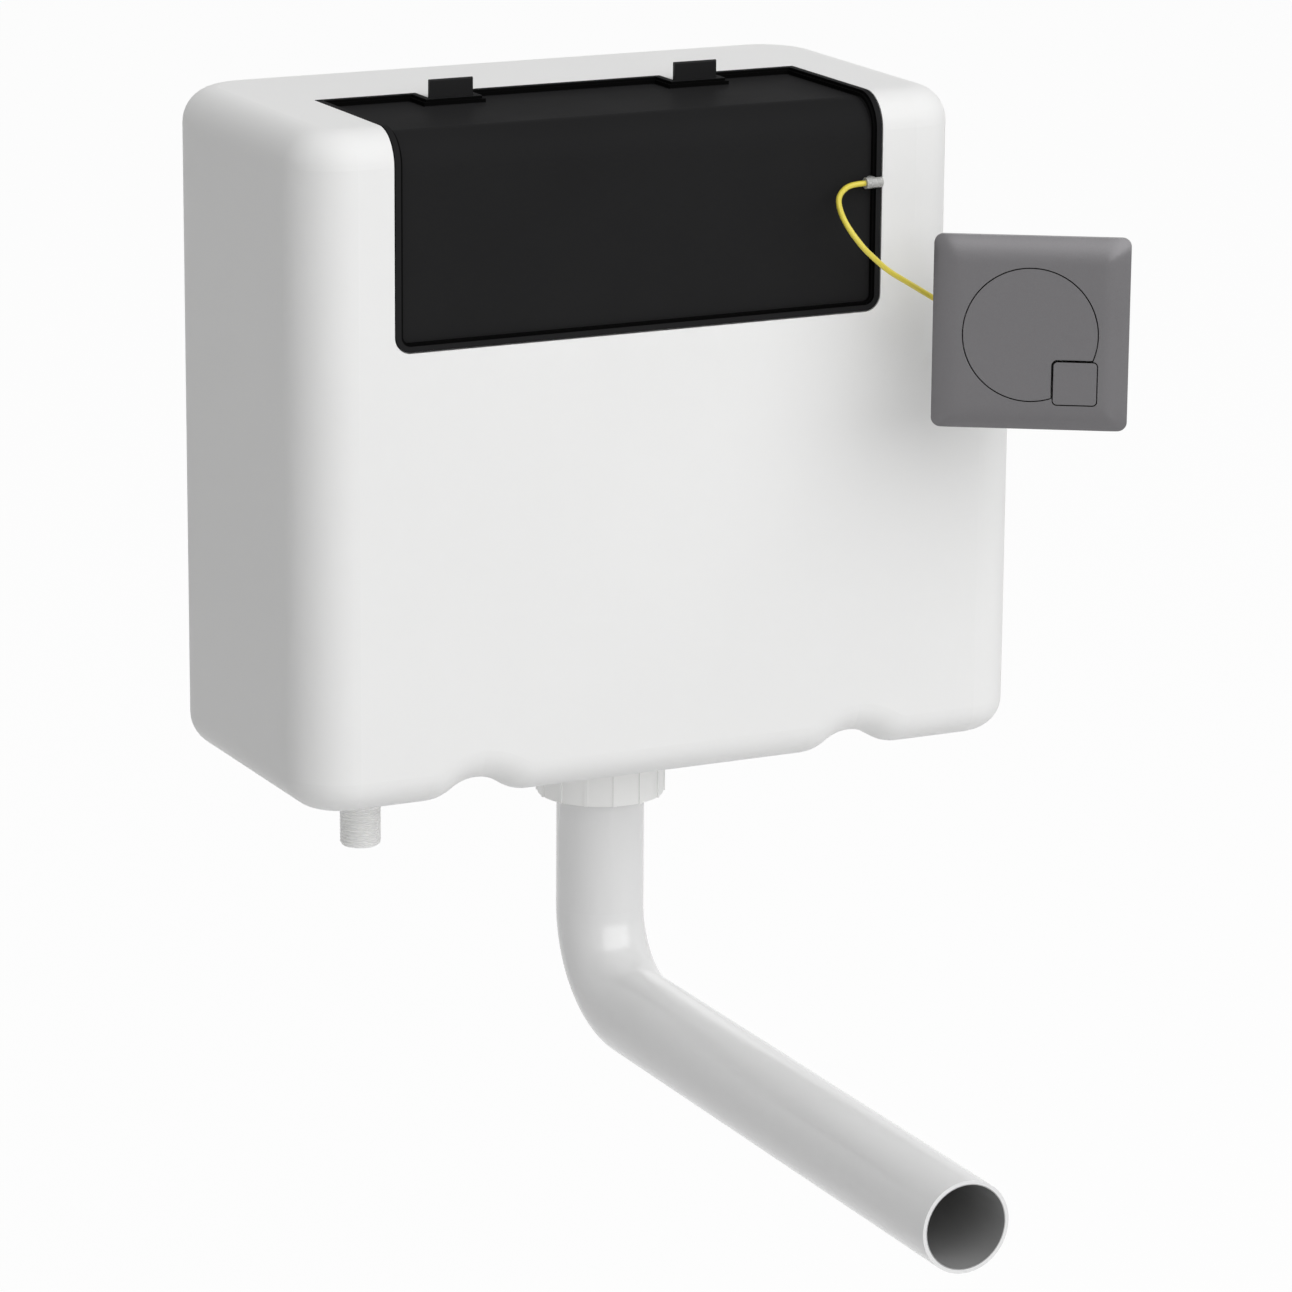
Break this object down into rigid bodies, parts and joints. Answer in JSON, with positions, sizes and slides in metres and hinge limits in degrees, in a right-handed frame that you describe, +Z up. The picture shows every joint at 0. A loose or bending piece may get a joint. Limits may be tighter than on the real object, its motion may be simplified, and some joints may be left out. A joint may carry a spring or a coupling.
{
  "type": "concealed cistern",
  "caption": "Concealed dual-flush toilet cistern: white plastic tank with a black access cover, bent flush pipe, threaded inlet and a cable-worked flush plate.",
  "frame": {"origin": "midway between the two wall fixing holes, on the tank's rear face", "axes": "+X to the right seen from the front, +Y back to the wall, +Z up"},
  "size_m": [0.4031, 0.492, 0.509],
  "materials": {
    "white_tank": "satin moulded polyethylene",
    "black_plastic": "fine matt grain",
    "clear_grey_plastic": "milky, slightly see-through",
    "yellow_sleeve": "smooth cable sleeve",
    "white_plastic": "satin",
    "pipe_plastic": "semi-gloss",
    "inlet_plastic": "satin, threaded",
    "grey_plastic": "satin",
    "black_rubber": "matt",
    "slip_washer": "smooth",
    "steel": "drawn wire",
    "plate_metal": "satin gunmetal"
  },
  "bodies": {
    "cistern": {"tank": "white_tank", "barrel_cap": "black_plastic", "panel_nut": "black_plastic", "operating_cable": "yellow_sleeve", "inner_cable": "yellow_sleeve", "coupling_nut": "white_plastic", "outlet_backnut": "white_plastic", "valve_base": "white_plastic", "valve_cage": "white_plastic", "valve_head": "white_plastic", "fill_valve_head": "white_plastic", "button_carrier": "white_plastic", "cable_gland": "white_plastic", "flush_pipe": "pipe_plastic", "inlet_shank": "inlet_plastic", "inlet_backnut": "inlet_plastic", "fill_valve_cap": "grey_plastic", "dip_tube": "grey_plastic", "cable_anchor": "grey_plastic", "cone_washer": "black_rubber", "outlet_gasket": "black_rubber", "inlet_gasket": "black_rubber", "panel_gasket": "black_rubber", "diaphragm_button": "black_rubber", "outlet_slip_washer": "slip_washer", "inlet_slip_washer": "slip_washer", "lever_pin": "steel", "float_arm_pin": "steel", "crank_pin": "steel", "full_button_spring": "steel", "half_button_spring": "steel", "flush_plate": "plate_metal"},
    "cover": {"access_cover": "black_plastic", "cable_elbow": "clear_grey_plastic"},
    "clip_left": {"cover_clip_left": "black_plastic"},
    "clip_right": {"cover_clip_right": "black_plastic"},
    "full_button": {"full_flush_button": "plate_metal"},
    "half_button": {"half_flush_button": "plate_metal"},
    "full_crank": {"full_flush_crank": "grey_plastic"},
    "half_crank": {"half_flush_crank": "grey_plastic"},
    "yoke": {"cable_yoke": "steel"},
    "lever": {"lift_lever": "grey_plastic"},
    "wire_end": {"lift_wire": "steel"},
    "valve": {"overflow_tube": "white_plastic", "valve_seal": "black_rubber", "seal_carrier": "white_plastic", "main_float": "grey_plastic", "half_flush_float": "grey_plastic", "lift_collar": "white_plastic"},
    "float": {"float_cup": "grey_plastic", "float_rod": "steel"},
    "arm": {"float_arm": "grey_plastic"}
  },
  "joints": [
    {"name": "cover_lift", "type": "slide", "parent": "cistern", "child": "cover", "axis": [0, 0, 1], "range_m": [0, 0.045], "deforming": ["operating_cable", "inner_cable"]},
    {"name": "clip_left_flex", "type": "hinge", "parent": "cover", "child": "clip_left", "pos_m": [-0.0863, -0.1037, 0.064], "axis": [1, 0, 0], "range_deg": [0, 6], "stiffness_Nm_per_rad": 0.6},
    {"name": "clip_right_flex", "type": "hinge", "parent": "cover", "child": "clip_right", "pos_m": [0.0489, -0.1037, 0.064], "axis": [1, 0, 0], "range_deg": [0, 6], "stiffness_Nm_per_rad": 0.6},
    {"name": "full_flush_press", "type": "slide", "parent": "cistern", "child": "full_button", "axis": [0.5299, 0.848, 0], "range_m": [0, 0.006], "stiffness_N_per_m": 500, "springref_m": -0.006, "deforming": ["full_button_spring"]},
    {"name": "half_flush_press", "type": "slide", "parent": "cistern", "child": "half_button", "axis": [0.5299, 0.848, 0], "range_m": [0, 0.003], "stiffness_N_per_m": 400, "springref_m": -0.004, "deforming": ["half_button_spring"]},
    {"name": "full_crank_turn", "type": "hinge", "parent": "cistern", "child": "full_crank", "pos_m": [0.17229, -0.24844, -0.0444], "axis": [0, 0, -1], "range_deg": [0, 27.5]},
    {"name": "half_crank_turn", "type": "hinge", "parent": "cistern", "child": "half_crank", "pos_m": [0.17229, -0.24844, -0.0544], "axis": [0, 0, -1], "range_deg": [0, 14]},
    {"name": "yoke_pull", "type": "slide", "parent": "cistern", "child": "yoke", "axis": [0.848, -0.5299, 0], "range_m": [0, 0.0073]},
    {"name": "wire_pull", "type": "slide", "parent": "cistern", "child": "wire_end", "axis": [0, 0, -1], "range_m": [0, 0.0073]},
    {"name": "lever_lift", "type": "hinge", "parent": "cistern", "child": "lever", "pos_m": [0.042, -0.1, -0.103], "axis": [0, 1, 0], "range_deg": [0, 22.5]},
    {"name": "valve_lift", "type": "slide", "parent": "cistern", "child": "valve", "axis": [0, 0, 1], "range_m": [0, 0.0201]},
    {"name": "float_rise", "type": "slide", "parent": "cistern", "child": "float", "axis": [0, 0, 1], "range_m": [0, 0.012]},
    {"name": "float_arm_turn", "type": "hinge", "parent": "cistern", "child": "arm", "pos_m": [-0.1355, -0.121, -0.031], "axis": [-1, 0, 0], "range_deg": [0, 20.5]}
  ],
  "couplings": [
    {"joint": "full_crank_turn", "follows": "full_flush_press", "rad_per_m": 78.54},
    {"joint": "yoke_pull", "follows": "full_flush_press", "ratio": 1.2},
    {"joint": "wire_pull", "follows": "full_flush_press", "ratio": 1.2},
    {"joint": "lever_lift", "follows": "full_flush_press", "rad_per_m": 63.995},
    {"joint": "valve_lift", "follows": "full_flush_press", "ratio": 3.3333},
    {"joint": "half_crank_turn", "follows": "half_flush_press", "rad_per_m": 78.54},
    {"joint": "float_arm_turn", "follows": "float_rise", "rad_per_m": 29.089}
  ]
}
